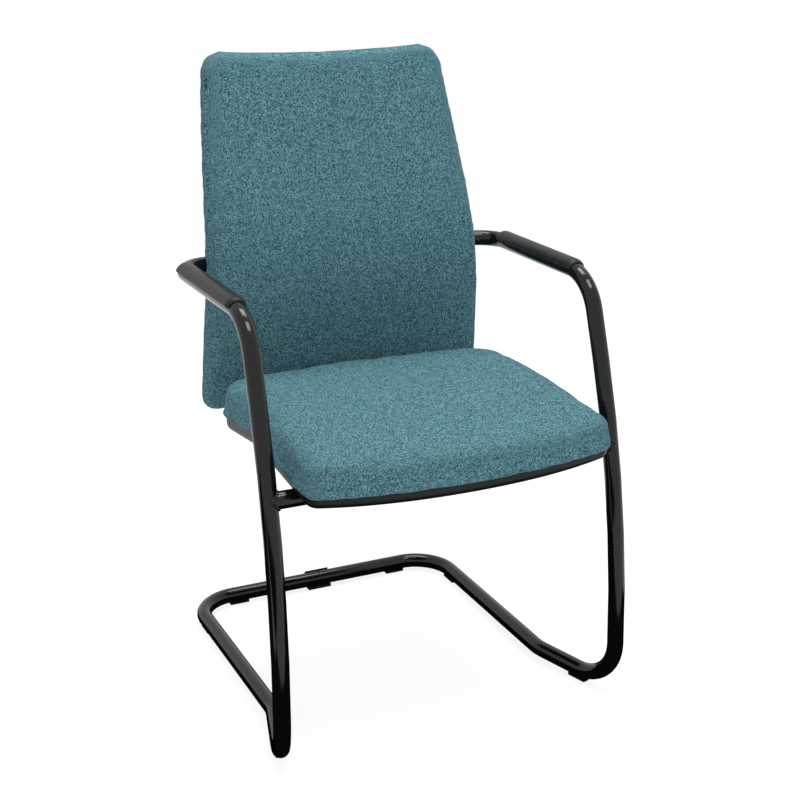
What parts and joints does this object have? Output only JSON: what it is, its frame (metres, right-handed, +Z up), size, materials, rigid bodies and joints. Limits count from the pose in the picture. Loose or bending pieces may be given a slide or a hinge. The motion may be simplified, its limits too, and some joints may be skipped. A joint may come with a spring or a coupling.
{
  "type": "sled base visitor chair",
  "caption": "Upholstered visitor chair on a bent tube sled frame, with padded seat and backrest and tube arms with plastic pads.",
  "frame": {"origin": "on the floor, under the middle of the chair's bounding box", "axes": "+Z up, the sitter faces -Y, +X is the sitter's left"},
  "size_m": [0.5658, 0.6181, 0.9483],
  "materials": {
    "frame_black": "gloss powder coat",
    "plastic_black": "fine grained, matte",
    "fabric_teal": "melange weave, matte",
    "plywood": "plain plywood",
    "zinc_steel": "zinc plated"
  },
  "bodies": {
    "root": {"frame_half_left": "frame_black", "frame_half_right": "frame_black", "seat_crossbar": "frame_black", "connecting_bar_left": "frame_black", "connecting_bar_right": "frame_black", "arm_pad_left": "plastic_black", "arm_pad_right": "plastic_black", "seat_under_cover": "plastic_black", "splice_foot": "plastic_black", "back_spacers": "plastic_black", "glide_front_left": "plastic_black", "glide_front_right": "plastic_black", "glide_side_left": "plastic_black", "glide_side_right": "plastic_black", "glide_rear_left": "plastic_black", "glide_rear_right": "plastic_black", "seat_cushion": "fabric_teal", "back_cushion": "fabric_teal", "back_rear_cover": "fabric_teal", "seat_board": "plywood", "back_board": "plywood", "floor_splice_sleeve": "zinc_steel", "back_splice_sleeve": "zinc_steel", "floor_splice_screws": "zinc_steel", "under_cover_screws": "zinc_steel", "seat_bolts": "zinc_steel", "seat_tee_nuts": "zinc_steel", "back_bolts": "zinc_steel", "back_bar_bolts": "zinc_steel", "back_tee_nuts": "zinc_steel"}
  },
  "joints": []
}
